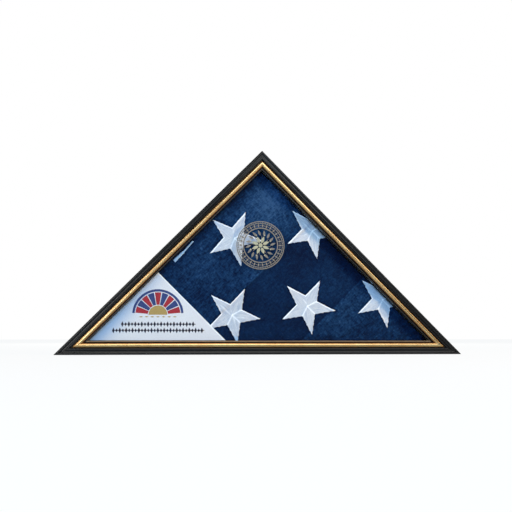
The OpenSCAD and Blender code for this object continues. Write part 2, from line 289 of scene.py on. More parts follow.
def makeCamera():
    around = math.radians(view["aroundDeg"])
    facing = around + math.radians(view["panDeg"])
    pitch = math.radians(view["pitchDeg"])
    data = bpy.data.cameras.new("camera")
    data.sensor_width = 36
    data.lens = view["lens"]
    camera = bpy.data.objects.new("camera", data)
    spot = Vector((-math.sin(around), -math.cos(around), 0)) * view["distance"]
    camera.location = spot + Vector((0, 0, view["height"]))
    aim = Vector((math.sin(facing) * math.cos(pitch), math.cos(facing) * math.cos(pitch), math.sin(pitch)))
    camera.rotation_mode = "QUATERNION"
    camera.rotation_quaternion = aim.to_track_quat("-Z", "Y")
    bpy.context.scene.collection.objects.link(camera)
    bpy.context.scene.camera = camera


makeCamera()

# finishes of the case

lacquer = {
    "black": (0.003, 0.0028, 0.003), "deep": (0.002, 0.002, 0.0025), "hazed": (0.005, 0.004, 0.0038),
    "roughness": (0.12, 0.20), "lipRough": 3.0,
    "lipHighlight": (0.30, 0.21, 0.13),  # painted highlight: the tan light that the lip's nose catches
    "boxDeep": (0.009, 0.009, 0.010), "boxGrain": (0.018, 0.016, 0.015), "boxRoughness": (0.34, 0.52),
}


def blackLacquer():
    # sprayed black lacquer with a little haze; lip marks a tan metallic painted highlight along the edge by
    # the glass
    finish = Finish("blackLacquer", lacquer["black"], 0.2, Specular_IOR_Level=0.5)
    haze = finish.noise(28, 4)
    lip = finish.attribute("lip")
    finish.roughness(finish.weigh(haze, (lip, lacquer["lipRough"])), *lacquer["roughness"])
    black = finish.ramp(haze, [(0.3, lacquer["deep"]), (0.75, lacquer["hazed"])])
    # the lip's painted highlight: tan and metallic where lip is 1
    finish.color(finish.mix(lip, black, lacquer["lipHighlight"]))
    finish.link(lip, finish.shader.inputs["Metallic"])
    finish.bump(haze, 0.0002, 0.2)
    return finish.material


def boxLacquer():
    # satin black over pine: the grain still shows as long shallow lines
    finish = Finish("boxLacquer", lacquer["black"], 0.4)
    grain = finish.noise(4.0, 6, 0.6, 0.6, finish.place((3, 90, 90)))
    haze = finish.noise(14, 4)
    finish.color(finish.ramp(grain, [(0.35, lacquer["boxDeep"]), (0.7, lacquer["boxGrain"])]))
    finish.roughness(haze, *lacquer["boxRoughness"])
    finish.bump(grain, 0.00006, 0.5)
    return finish.material


gilding = {
    "gold": (0.95, 0.68, 0.33), "deepGold": (0.66, 0.32, 0.11), "roughness": (0.20, 0.30),
    "clay": (0.060, 0.020, 0.008),  # red-brown clay under the leaf
    "rub": 0.22,  # how unevenly the leaf is worn through to it
}


def goldLeaf():
    # satin leaf over clay: lowSide is 1 where the clay shows, along the feet of the bead
    finish = Finish("goldLeaf", gilding["gold"], 0.25, 1.0)
    rub = finish.noise(45, 4, 0.5)
    worn = finish.weigh(finish.attribute("lowSide"), (finish.add(rub, -0.5), gilding["rub"]))
    depth = finish.greyRamp(worn, [(0.30, 0), (0.62, 1)])
    patina = finish.mix(finish.greyRamp(rub, [(0.4, 0), (0.7, 0.5)]), gilding["gold"], gilding["deepGold"])
    leaf = finish.mix(depth, patina, gilding["deepGold"])
    bare = finish.greyRamp(worn, [(0.68, 0), (0.95, 1)])
    finish.color(finish.mix(bare, leaf, gilding["clay"]))
    finish.link(finish.weigh(1.0, (bare, -0.9)), finish.shader.inputs["Metallic"])
    finish.roughness(rub, *gilding["roughness"])
    finish.bump(rub, 0.0001, 0.2)
    return finish.material


glass = {
    "tint": (0.975, 0.99, 0.985),
    "glint": 0.0037,  # share of the light that each coated face mirrors when looked at straight
}


def clearGlass():
    # non-glare float glass: each face mirrors glint, and more by the fifth power of how grazing the look is
    finish = Finish("clearGlass", glass["tint"], 0.02)
    through = finish.node("BsdfTransparent")
    through.inputs["Color"].default_value = (*glass["tint"], 1)
    mirror = finish.node("BsdfGlossy", Roughness=0.03)
    facing = finish.node("LayerWeight", Blend=0.5)
    grazing = finish.math("POWER", facing.outputs["Facing"], 5.0)
    either = finish.node("MixShader")
    finish.link(finish.weigh(glass["glint"], (grazing, 1 - glass["glint"])), either.inputs[0])
    finish.link(through.outputs[0], either.inputs[1])
    finish.link(mirror.outputs[0], either.inputs[2])
    finish.link(either.outputs[0], finish.tree.nodes["Material Output"].inputs["Surface"])
    finish.tree.nodes.remove(finish.shader)
    return finish.material


def mattBlack():
    finish = Finish("mattBlack", (0.012, 0.012, 0.012), 0.8)
    specks = finish.noise(350, 3)
    finish.color(finish.ramp(specks, [(0.3, (0.008, 0.008, 0.008)), (0.8, (0.02, 0.02, 0.021))]))
    finish.bump(specks, 0.00008, 0.5)
    return finish.material


hardboard = {
    "brown": (0.16, 0.085, 0.04), "dark": (0.075, 0.036, 0.016), "middle": (0.17, 0.09, 0.042),
    "light": (0.26, 0.15, 0.075), "stain": (0.10, 0.052, 0.024), "roughness": (0.42, 0.66),
}


def brownHardboard():
    # smooth side of hardboard: fine fibres and darker flecks
    b = hardboard
    finish = Finish("brownHardboard", b["brown"], 0.55)
    fibres = finish.noise(240, 6, 0.7, 1.2)
    blotch = finish.noise(9, 4)
    tone = finish.ramp(fibres, [(0.28, b["dark"]), (0.5, b["middle"]), (0.75, b["light"])])
    finish.color(finish.mix(finish.times(blotch, 0.45), tone, b["stain"]))
    finish.roughness(blotch, *b["roughness"])
    finish.bump(fibres, 0.00012, 0.6)
    return finish.material


metals = {  # colour and roughness
    "steel": ((0.56, 0.57, 0.58), 0.35), "brass": ((0.78, 0.56, 0.25), 0.28),
    "nickel": ((0.68, 0.66, 0.62), 0.22),
}


def brushedMetal(name, color, roughness):
    finish = Finish(name, color, roughness, 1.0)
    strokes = finish.noise(3, 3, where=finish.place((2, 600, 2)))
    dull = finish.noise(180, 4)
    finish.roughness(dull, roughness * 0.7, roughness * 1.4)
    finish.bump(strokes, 0.00003, 0.4)
    return finish.material


def softRubber():
    finish = Finish("softRubber", (0.025, 0.025, 0.026), 0.7)
    specks = finish.noise(700, 2)
    finish.roughness(specks, 0.6, 0.85)
    finish.bump(specks, 0.00006, 0.5)
    return finish.material


def finishCadNodes():
    # each node of the frame takes the finish of its material slot; flag and card get theirs with their pieces
    finishes = {
        "lacquer": blackLacquer(), "gilt": goldLeaf(), "glass": clearGlass(), "spacer": mattBlack(),
        "box_lacquer": boxLacquer(), "steel": brushedMetal("brightSteel", *metals["steel"]),
        "hardboard": brownHardboard(), "brass": brushedMetal("platedBrass", *metals["brass"]),
        "nickel": brushedMetal("nickelPlate", *metals["nickel"]), "bumper": softRubber(),
    }
    for row in frame["record"]["subparts"]:
        chosen = finishes.get(row["material_slot"])
        if chosen is None:
            continue
        mesh = frame["nodes"][row["node"]].data
        mesh.materials.clear()
        mesh.materials.append(chosen)
        mesh.polygons.foreach_set("use_smooth", np.ones(len(mesh.polygons), bool))
    return finishes


finishes = finishCadNodes()
print("finishes on the frame's own nodes")

# moulding and beads

moulding = {
    "shoulderR": 2.5 * mm, "shoulderFlat": 0.6 * mm,
    "coveW": 4.6 * mm, "coveD": 1.7 * mm,
    "rollR": 1.3 * mm, "rollDrop": 0.8 * mm, "quirkW": 0.8 * mm,
    "beadInset": 11 * mm, "beadW": 8 * mm, "beadGap": 0.2 * mm, "beadFoot": 0.9 * mm,
    "seatH": 9.5 * mm, "lipH": 11.2 * mm,
    "rabbetW": 6 * mm, "rabbetD": 7 * mm, "bevel": 0.8 * mm,
    "mitreGap": 0.03 * mm, "stations": 90,
    "lipHighlightShare": {"left": 0.1, "right": 0.1, "base": 1.0},  # the lip's painted highlight on each side, most on the base
}


def arc(centre, radius, fromDeg, toDeg, count):
    # points on a circle in the section's plane, as (inset, height)
    a = np.radians(np.linspace(fromDeg, toDeg, count))
    return np.stack([centre[0] + radius * np.cos(a), centre[1] + radius * np.sin(a)], 1)


def mouldingSection():
    # closed section, from the back of the outer edge over the face to the rabbet, as (inset, height)
    m = moulding
    top = mouldBackY - frontY
    coveMid = m["shoulderR"] + m["shoulderFlat"] + m["coveW"] / 2
    coveR = ((m["coveW"] / 2) ** 2 + m["coveD"] ** 2) / (2 * m["coveD"])
    coveAngle = math.degrees(math.asin(m["coveW"] / 2 / coveR))
    rollMid = m["beadInset"] - m["quirkW"] - m["rollR"]
    rollTop = top - m["rollDrop"]
    lipEdge = m["beadInset"] + m["beadW"] + m["beadGap"]
    noseR = (mouldW - lipEdge) / 2
    shoulder = arc((m["shoulderR"], top - m["shoulderR"]), m["shoulderR"], 180, 90, 14)
    cove = arc((coveMid, top - m["coveD"] + coveR), coveR, -90 - coveAngle, -90 + coveAngle, 26)
    cove = cove[cove[:, 1] <= np.where(cove[:, 0] < coveMid, top, rollTop)]
    roll = arc((rollMid, rollTop - m["rollR"]), m["rollR"], 90, 0, 12)
    nose = arc((lipEdge + noseR, m["lipH"] - noseR), noseR, 180, 0, 20)
    outline = [
        [[m["bevel"], 0], [0, m["bevel"]]], shoulder, cove, roll,
        [[rollMid + m["rollR"], m["seatH"]], [lipEdge, m["seatH"]]], nose,
        [[mouldW, m["rabbetD"]], [mouldW - m["rabbetW"], m["rabbetD"]], [mouldW - m["rabbetW"], 0]],
    ]
    return np.concatenate([np.asarray(part, float) for part in outline])


def beadSection():
    # half round on a low foot; the foot stands on its seat
    m = moulding
    r = m["beadW"] / 2
    crown = arc((m["beadInset"] + r, m["seatH"] + m["beadFoot"]), r, 180, 0, 41)
    foot = [[m["beadInset"], m["seatH"]], [m["beadInset"] + m["beadW"], m["seatH"]]]
    return np.concatenate([foot[:1], crown, foot[1:]])


def fineSection(section, longest):
    # the same section with no stretch longer than longest
    points = []
    for a, b in zip(section, np.roll(section, -1, 0)):
        steps = max(1, math.ceil(np.linalg.norm(b - a) / longest))
        points.append(a + (b - a) * np.arange(steps)[:, None] / steps)
    return np.concatenate(points)


def onSide(side, along, inset, y):
    # a point at a distance along a side from its middle, at an inset from it and a depth
    if side == "base":
        return np.stack([along, y, inset], -1)
    x = -halfBase / 2 - along / root2 + inset / root2
    z = halfBase / 2 - along / root2 - inset / root2
    return np.stack([x if side == "left" else -x, y, z], -1)


def mitredRail(name, side, section, slotName, attributes):
    # the section carried along the side; each end is cut back by inset over the tangent of its mitre
    stations = moulding["stations"]
    inset, height = section[:, 0], section[:, 1]
    tipCut = inset / math.tan(math.radians(22.5)) + moulding["mitreGap"] / math.sin(math.radians(22.5))
    apexCut = inset + moulding["mitreGap"] * root2
    if side == "base":
        low, high = -halfBase + tipCut, halfBase - tipCut
    else:
        low, high = -halfBase / root2 + apexCut, halfBase / root2 - tipCut
    t = np.linspace(0, 1, stations)[:, None]
    along = low + (high - low) * t
    y = np.broadcast_to(mouldBackY - height, along.shape)
    verts = onSide(side, along, np.broadcast_to(inset, along.shape), y)
    count = len(section)
    lengths = np.linalg.norm(np.roll(section, -1, 0) - section, axis=1)
    around = np.concatenate([[0], np.cumsum(lengths)[:-1]])
    uvs = np.stack([along, np.broadcast_to(around, along.shape)], -1).reshape(-1, 2)
    caps = [[list(range(count))], [list(range(count * (stations - 1), count * stations))]]
    extra = {key: np.tile(values, stations) for key, values in attributes.items()}
    faces = [gridFaces(stations, count, True), *caps]
    piece = makePiece(name, verts.reshape(-1, 3), faces, finishes[slotName], uvs, extra, 35)
    faceOutwards(piece)
    return piece


def makeMouldings():
    face = fineSection(mouldingSection(), 1.2 * mm)
    bead = fineSection(beadSection(), 0.8 * mm)
    middle = moulding["beadInset"] + moulding["beadW"] / 2
    across = (bead[:, 0] - middle) / (moulding["beadW"] / 2)
    lowSide = np.where(across > 0, across * 1.15, -across * 0.9)
    noseR = (mouldW - moulding["beadInset"] - moulding["beadW"] - moulding["beadGap"]) / 2
    abovePane = face[:, 1] > moulding["rabbetD"] + 0.5 * mm
    lip = smoothStep(mouldW - 1.2 * noseR, mouldW - 0.7 * noseR, face[:, 0]) * abovePane
    # each side's lip takes its share of the painted highlight
    for side, lipHighlightShare in moulding["lipHighlightShare"].items():
        rail = mitredRail("moulding_face_" + side, side, face, "lacquer", {"lip": lip * lipHighlightShare})
        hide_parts("moulding_" + side)
        gilt = mitredRail("gilt_bead_" + side, side, bead, "gilt", {"lowSide": lowSide})
        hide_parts("bead_" + side)


makeMouldings()
print("mouldings and gilt beads")

# the folded flag

flag = {
    "edgeR": 5 * mm,  # rounding of the front and back edges
    "tipR": 5 * mm, "apexR": 5 * mm,  # rounding of the three corners, seen from the front
    "around": 432, "frontRows": 124, "arcRows": 10, "sideRows": 28, "backRows": 30,
    "layers": 15, "layerDepth": 0.9 * mm,
    "setBack": 1.6 * mm,  # mean depth of the front face behind the solid's front
    "creases": (140.5 * mm, 264.5 * mm),  # folded edges across the face, from the left leg's outer edge
    "foldStep": 1.3 * mm,
    "backSunk": 2.4 * mm, "backWrinkleH": 0.8 * mm, "flapH": 1.6 * mm,
}
relief = {  # heights of the cloth; each reach gives the two distances between which a height comes in
    "ridgeH": 0.35 * mm, "ridgeW": 2.5 * mm, "ridgeIn": 2 * mm,  # soft ridge beside each folded edge
    "swellH": 2.2 * mm, "swellReach": (20 * mm, 110 * mm),
    "wrinkleH": 1.0 * mm, "wrinkleLengths": (26 * mm, 110 * mm), "wrinkleAtRim": 0.15,
    "fineH": 0.22 * mm, "fineLengths": (7 * mm, 22 * mm), "rimReach": (20 * mm, 40 * mm),
    "puckerH": 0.45 * mm, "rippleH": 0.40 * mm, "puckerReach": (1.5 * mm, 6 * mm),  # round each star
    "rightTip": (235 * mm, 30 * mm), "tipReach": (150 * mm, 40 * mm),
    "tipCreaseH": 1.5 * mm, "tipLengths": (18 * mm, 44 * mm),
    "underCard": 0.25, "cardReach": (-6 * mm, 8 * mm),  # pressed flatter under the card
}
toneAndShade = {  # what each part adds or takes away; each reach gives the two distances between which it changes
    "mean": 0.42, "most": 1.25, "drift": 0.12, "driftLengths": (50 * mm, 160 * mm),
    "apex": 0.74, "apexRise": (170 * mm, 285 * mm), "apexReach": (24 * mm, 60 * mm),
    # painted shade along the frame, and in a thin ring round each star
    "rim": 0.4, "rimReach": (44 * mm, 22 * mm), "rimShift": (8 * mm, 4 * mm, -4 * mm),
    "starRim": 0.8, "starRimReach": (3.5 * mm, 1.0 * mm),
    "tip": 0.2, "rightTip": (268 * mm, 26 * mm), "tipReach": (60 * mm, 20 * mm),
}
starField = {
    # the star folded over the left edge: along it, outer inset and inner inset, in mm
    "edge": ((-6, 24.8, 30.4), (-15, 25.0, 30.0), (-25, 25.3, 29.6), (-26.5, 25.0, 30.4), (-28, 26.2, 28.9),
             (-40, 25.4, 27.9), (-51, 24.8, 27.4)),
    # each star's centre in mm, and its turn in degrees from the first tip
    "stars": ((-46.8, 63.4, 1.8), (76.5, 78.0, 0.3), (202.1, 89.0, 1.2), (-43.3, 187.7, 4.5),
              (85.4, 201.7, 0.5)),
    "firstTip": 135,  # degrees, to the upper left
    "diameter": 94 * mm, "thick": 0.7 * mm, "sunk": 0.4 * mm, "patch": 30,
    "border": 3.2 * mm, "borderH": 0.15 * mm,
    "seam": 1.1 * mm, "seamH": 0.22 * mm,
    "seams": (0.1, -0.5, 0.75, 0.8, 0.9),  # each line from the centre, anticlockwise: its height and painted highlight
    "jag": 0.7 * mm, "jagIn": 1.5 * mm,  # frayed edge: its height, and how far in it reaches
    "jagWaves": ((0.6, 24), (0.4, 43)), "jagLit": 0.3,  # less of it on the edges that face the light
    "litFrom": 112,  # degrees: borders that face this way take the most painted highlight
}


def starCentres():
    return np.array(starField["stars"])[:, :2] * mm


def notchRadius():
    # from a star's centre to the notch between two arms
    return starField["diameter"] / 2 * math.sin(math.radians(18)) / math.sin(math.radians(54))


def starReach(x, z, centre):
    # how far a point lies outside a star's outline, negative inside: the plane folded into one half arm
    dx, dz = x - centre[0], z - centre[1]
    fifth = 2 * math.pi / 5
    angle = np.mod(np.arctan2(dz, dx) - math.radians(starField["firstTip"]) + fifth / 2, fifth) - fifth / 2
    radius = np.hypot(dx, dz)
    tip = starField["diameter"] / 2
    px, py = radius * np.cos(angle), radius * np.abs(np.sin(angle))
    notchX, notchY = notchRadius() * heading(36)
    return ((px - tip) * notchY - py * (notchX - tip)) / math.hypot(notchX - tip, notchY)


def flagRelief(x, z):
    # height of the cloth towards the glass, in metres: pressed bands, soft swelling, wrinkles and star pucker
    h = relief
    base, left, right = sideDistances(x, z)
    nearest = np.minimum(np.minimum(base, left), right)
    low, high = flag["creases"]
    down = smoothStep(low - 1 * mm, low + 1.5 * mm, left)
    up = smoothStep(high - 1.5 * mm, high + 1 * mm, left)
    step = flag["foldStep"] * (1 - down + up)
    ridge = h["ridgeH"] * np.exp(-((left - low + h["ridgeIn"]) / h["ridgeW"]) ** 2)
    ridge += h["ridgeH"] * np.exp(-((left - high - h["ridgeIn"]) / h["ridgeW"]) ** 2)
    swell = h["swellH"] * smoothStep(*h["swellReach"], nearest)
    wrinkle = h["wrinkleH"] * waveField(x, z, 11, 26, *h["wrinkleLengths"], math.radians(-45), 0.9)
    fine = h["fineH"] * waveField(x, z, 12, 40, *h["fineLengths"])
    tipX, tipZ = h["rightTip"]
    nearTip = smoothStep(*h["tipReach"], np.hypot(x - tipX, z - tipZ))
    creased = np.abs(waveField(x, z, 15, 14, *h["tipLengths"], math.radians(80), 0.7))
    start, end = h["puckerReach"]
    pucker = np.zeros_like(x)
    for centre in starCentres():
        beyond = np.maximum(starReach(x, z, centre), 0)
        ripple = np.sin(np.arctan2(z - centre[1], x - centre[0]) * 21 + centre[0] * 90)
        pucker += (np.exp(-beyond / end) - np.exp(-beyond / start)) * (h["puckerH"] + h["rippleH"] * ripple)
    rim = smoothStep(*h["rimReach"], nearest)
    wrinkle, fine = wrinkle * (h["wrinkleAtRim"] + (1 - h["wrinkleAtRim"]) * rim), fine * rim
    height = step + ridge + swell + wrinkle + fine + pucker - h["tipCreaseH"] * nearTip * creased
    clearOfCard = smoothStep(*h["cardReach"], cardReach(x, z))
    return height * (h["underCard"] + (1 - h["underCard"]) * clearOfCard)


def cardReach(x, z):
    # how far a point lies outside the card in the lower left corner
    return (x + z - (cardHigh.x + cardLow.z)) / root2


def roundedOutline(corners, radii, count):
    # closed outline with an arc at each corner, resampled to evenly spaced points
    points = []
    for k in range(3):
        corner, before, after = corners[k], corners[k - 1], corners[(k + 1) % 3]
        toA = (before - corner) / np.linalg.norm(before - corner)
        toB = (after - corner) / np.linalg.norm(after - corner)
        half = math.acos(np.clip(toA @ toB, -1, 1)) / 2
        mid = (toA + toB) / np.linalg.norm(toA + toB)
        centre = corner + mid * radii[k] / math.sin(half)
        start = corner + toA * radii[k] / math.tan(half) - centre
        a0 = math.atan2(start[1], start[0])
        a = a0 + np.linspace(0, math.pi - 2 * half, 40)
        points.append(centre + radii[k] * np.stack([np.cos(a), np.sin(a)], 1))
    path = np.concatenate(points)
    path = np.concatenate([path, path[:1]])
    run = np.concatenate([[0], np.cumsum(np.linalg.norm(np.diff(path, axis=0), axis=1))])
    even = np.linspace(0, run[-1], count, endpoint=False)
    return np.stack([np.interp(even, run, path[:, 0]), np.interp(even, run, path[:, 1])], 1)


def clothToneAndShade(x, z):
    # lighter near the apex, darker at the right tip; painted shade along the frame and in a ring round each
    # star
    f = toneAndShade
    sides = sideDistances(x, z)
    apex = smoothStep(*f["apexRise"], z) * smoothStep(*f["apexReach"], sides[1])
    nearest = np.minimum.reduce([distance + shift for distance, shift in zip(sides, f["rimShift"])])
    starRim = np.minimum.reduce([np.abs(starReach(x, z, centre)) for centre in starCentres()])
    # painted shade along the frame and round each star
    rim = np.maximum(smoothStep(*f["rimReach"], nearest),
                     f["starRim"] * smoothStep(*f["starRimReach"], starRim))
    tipX, tipZ = f["rightTip"]
    tip = smoothStep(*f["tipReach"], np.hypot(x - tipX, z - tipZ))
    drift = f["drift"] * waveField(x, z, 21, 12, *f["driftLengths"])
    tone = f["mean"] + f["apex"] * apex - f["rim"] * rim - f["tip"] * tip + drift
    return np.clip(tone, 0, f["most"])


def bundleRings():
    # each ring's share of the way from the middle to the outline, and its depth behind the front's flat:
    # out over the front, round the edge, down the side, round the back edge and in to the middle of the back
    f = flag
    edge = f["edgeR"]
    span = flagHigh.y - 0.5 * mm - (flagLow.y + f["setBack"])
    edgeShare = edge / (inRadius - flagInset)
    angles = np.linspace(0, math.pi / 2, f["arcRows"] + 1)[1:]
    down = np.linspace(0, 1, f["sideRows"] + 2)[1:-1]
    arcShare, arcDepth = 1 - edgeShare * (1 - np.sin(angles)), edge * (1 - np.cos(angles))
    share = [
        np.linspace(0, 1 - edgeShare, f["frontRows"] + 1)[1:], arcShare, np.ones(f["sideRows"]),
        arcShare[::-1], np.linspace(1 - edgeShare, 0, f["backRows"] + 1)[:-1],
    ]
    depth = [
        np.zeros(f["frontRows"]), arcDepth, edge + (span - 2 * edge) * down,
        span - arcDepth[::-1], np.full(f["backRows"], span),
    ]
    return np.concatenate(share), np.concatenate(depth), span, 1 - edgeShare


def makeFlagBundle(material):
    # a stack of folds: rings from bundleRings, raised by flagRelief, and grooved down the side for its layers
    f = flag
    outline = roundedOutline(insetCorners(flagInset), (f["tipR"], f["tipR"], f["apexR"]), f["around"])
    share, depth, span, flatShare = bundleRings()
    rows = len(share)
    depth, share = depth[:, None], share[:, None]
    outX, outZ = outline[None, :, 0], outline[None, :, 1] - inRadius
    x, z = share * outX, inRadius + share * outZ
    frontFlat = flagLow.y + f["setBack"]
    frontWeight = smoothStep(0.6, 0.0, depth / (2 * f["edgeR"]))
    backWeight = smoothStep(0.4, 0.0, (span - depth) / (2 * f["edgeR"]))
    flap = smoothStep(-2 * mm, 2 * mm, sideDistances(x, z)[1] - 190 * mm - 12 * mm * np.sin(z * 18))
    backRelief = f["backWrinkleH"] * waveField(x, z, 31, 24, 24 * mm, 120 * mm) + f["flapH"] * flap
    y = frontFlat + depth - flagRelief(x, z) * frontWeight + (backRelief - f["backSunk"]) * backWeight
    wander = waveField(x, z, 41, 12, 40 * mm, 200 * mm) * 0.06
    groove = np.abs(np.sin((depth / span + wander) * math.pi * f["layers"])) ** 0.6
    side = np.sin(np.clip(depth / span, 0, 1) * math.pi) * (share > flatShare + 1e-6)
    push = (groove - 1) * f["layerDepth"] * 2 * side / (inRadius - flagInset)
    verts = np.stack([x + push * outX, y, z + push * outZ], -1).reshape(-1, 3)
    frontPole = [0, frontFlat - float(flagRelief(np.zeros(1), np.array([inRadius]))[0]), inRadius]
    backPole = [0, frontFlat + span - f["backSunk"], inRadius]
    verts = np.concatenate([verts, [frontPole, backPole]])
    # tone of the cloth, with its painted shade along the frame and round the stars
    tone = {"tone": clothToneAndShade(verts[:, 0], verts[:, 2])}
    faces = closedRings(rows, f["around"])
    piece = makePiece("flag_bundle", verts, faces, material, attributes=tone, sharpDeg=80)
    faceOutwards(piece)
    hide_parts("folded_flag")


cloth = {
    # ramp of blues, dark to pale; the pale end also carries the painted light of the fold bands
    "dark": (0.0034, 0.0078, 0.0285), "navy": (0.0044, 0.0165, 0.0540),
    "blue": (0.0085, 0.0320, 0.0910), "palest": (0.0265, 0.0700, 0.1680),
    "thread": 0.9 * mm,
    "blotch": 0.80, "cloud": 0.60, "streak": 1.15, "cross": 0.85,  # what each noise adds to the mottle
    "mottleMean": 1.70, "mottle": 1.12,
    "paintedFoldLight": 0.42, "tone": 0.62, "level": -0.085,
}


def navyCotton():
    # cotton in folded layers, mottled, with the weave along and across the fold; two layers painted lighter
    # and the one between them darker for how each catches the light, with a painted highlight by each folded
    # edge
    c = cloth
    finish = Finish("navyCotton", c["navy"], 0.9, 0.0, Specular_IOR_Level=0.02)
    turn = (0, math.radians(45), 0)
    turned = finish.place(turn=turn)
    wander = finish.times(finish.add(finish.noise(30, 2, where=turned), -0.5), 0.0010)
    left = finish.add(finish.along((1 / root2, 0, -1 / root2), halfBase / root2), wander)
    low, high = (2 * crease for crease in flag["creases"])
    # painted light: lighter and darker bands for how each fold layer catches the light, and a painted
    # highlight line beside each folded edge
    bands = [
        (0.0, 0.60), (low - 0.006, 0.56), (low - 0.002, 0.90), (low, 0.0), (low + 0.02, 0.10),
        (high - 0.012, 0.12), (high - 0.001, 0.0), (high + 0.001, 0.85), (high + 0.008, 0.58), (1.0, 0.50),
    ]
    paintedFoldLight = finish.greyRamp(finish.times(left, 2.0), bands)
    blotch = finish.noise(95, 5, 0.6, 0.3, finish.place((0.7, 1, 1), turn))
    streak = finish.noise(400, 2, 0.5, where=finish.place((0.42, 1, 1), turn))
    cross = finish.noise(360, 2, 0.5, where=finish.place((1, 1, 0.4), turn))
    cloud = finish.noise(20, 3, 0.5, where=turned)
    parts = ((blotch, c["blotch"]), (cloud, c["cloud"]), (streak, c["streak"]), (cross, c["cross"]))
    mottle = finish.times(finish.weigh(-c["mottleMean"], *parts), finish.weigh(0.35, (paintedFoldLight, 0.8)))
    # tone carries the cloth's painted shade along the frame and round the stars
    tone = finish.attribute("tone")
    level = finish.weigh(c["level"], (paintedFoldLight, c["paintedFoldLight"]), (tone, c["tone"]), (mottle, c["mottle"]))
    blues = [(0.0, c["dark"]), (0.30, c["navy"]), (0.55, c["blue"]), (1.0, c["palest"])]
    finish.color(finish.ramp(level, blues))
    threads = []
    for direction in "XZ":
        wave = finish.node("TexWave", bands_direction=direction, Scale=2 * math.pi / (20 * c["thread"]),
                           Distortion=0.6, Detail=1.0)
        finish.link(turned, wave.inputs["Vector"])
        threads.append(wave.outputs["Fac"])
    finish.bump(finish.add(streak, cross), 0.0012, 0.6)
    finish.bump(finish.times(*threads), 0.00010, 0.4)
    return finish.material


thread = {
    "body": (0.575, 0.58, 0.64), "shade": (0.35, 0.40, 0.545), "bright": (0.94, 0.93, 1.00),
    "blue": (0.29, 0.48, 0.75),  # painted shade: the frame's cool shadow on the stars
    # how much of that painted shade beside the base, left leg and right leg, and the two distances where it
    # goes
    "shades": ((0.75, 31 * mm, 27 * mm), (0.55, 46 * mm, 26 * mm), (0.30, 58 * mm, 30 * mm)),
    "rightShadeTop": (210 * mm, 100 * mm),  # heights between which the right leg's comes in
    "pitch": 0.55 * mm,
}


def whiteThread():
    # satin stitches along each arm; painted highlights on raised borders, seams and crease ridges, painted
    # shade lines in the creases, and the frame's painted shade near its sides
    t = thread
    finish = Finish("whiteThread", t["body"], 0.65, 0.0, Specular_IOR_Level=0.2)
    stitches = finish.node("TexWave", bands_direction="Y", Scale=2 * math.pi / (20 * t["pitch"]),
                           Distortion=1.6, Detail=1.0)
    finish.link(finish.place(source="UV"), stitches.inputs["Vector"])
    crease = finish.noise(1.0, 4, 0.6, 0.5, finish.place((22, 240, 1), source="UV"))
    patchy = finish.noise(90, 4, 0.6)
    # painted shade in thin lines along the creases, and a painted highlight on their ridges
    creased = [(0.34, t["body"]), (0.44, t["body"]), (0.475, t["shade"]), (0.515, t["body"]),
               (0.62, t["body"]), (0.72, t["bright"])]
    body = finish.ramp(crease, creased)
    body = finish.mix(finish.greyRamp(patchy, [(0.35, 0.35), (0.65, 0)]), body, t["shade"])
    # the painted highlight on borders and seams
    stitched = finish.mix(finish.attribute("border"), body, t["bright"])
    # the frame's painted shade: tint turns the thread blue near the frame's sides
    finish.color(finish.mix(finish.attribute("tint"), stitched, t["blue"]))
    finish.roughness(patchy, 0.5, 0.75)
    finish.bump(crease, 0.0003, 0.5)
    finish.bump(stitches.outputs["Fac"], 0.00012, 0.5)
    return finish.material


def flagFacePoint(x, z, lift):
    # puts a flat point on the flag's front: past the start of the rounded edge it wraps round the side
    r = flag["edgeR"]
    distances = np.stack(sideDistances(x, z))
    nearest = distances.min(0)
    which = distances.argmin(0)
    over = np.clip(flagInset + r - nearest, 0, 42 * mm)
    turn = np.minimum(over / r, math.pi / 2)
    straight = np.maximum(over - r * math.pi / 2, 0)
    shift = (flagInset + r - r * np.sin(turn)) - nearest
    inward = np.array([[0, 1], [1 / root2, -1 / root2], [-1 / root2, -1 / root2]])[which]
    shift = np.where(nearest < flagInset + r, shift, 0)
    x2, z2 = x + shift * inward[..., 0], z + shift * inward[..., 1]
    depth = r * (1 - np.cos(turn)) + straight
    weight = smoothStep(0.6, 0.0, depth / (2 * r))
    y = flagLow.y + flag["setBack"] + depth - flagRelief(x2, z2) * weight
    out = lift * np.sin(turn)
    return np.stack([x2 - out * inward[..., 0], y - lift * np.cos(turn), z2 - out * inward[..., 1]], -1)


def frameShade(x, z):
    # 0 to 1: how far a point of a star lies in the frame's shade
    rows = zip(thread["shades"], sideDistances(x, z))
    base, left, right = (most * smoothStep(far, near, distance) for (most, far, near), distance in rows)
    return np.maximum.reduce([base, left, right * smoothStep(*thread["rightShadeTop"], z)])


def seamLevel(flat, turn):
    # -1 to 1: how strongly a point stands on one of the five lines from a star's centre to its notches
    total = np.zeros(flat.shape[:-1])
    for k, level in enumerate(starField["seams"]):
        ray = heading(starField["firstTip"] + turn + 72 * k - 36)
        aside = np.linalg.norm(flat - np.maximum(flat @ ray, 0)[..., None] * ray, axis=-1)
        total = total + level * np.exp(-(aside / starField["seam"]) ** 2)
    return np.clip(total, -1, 1)


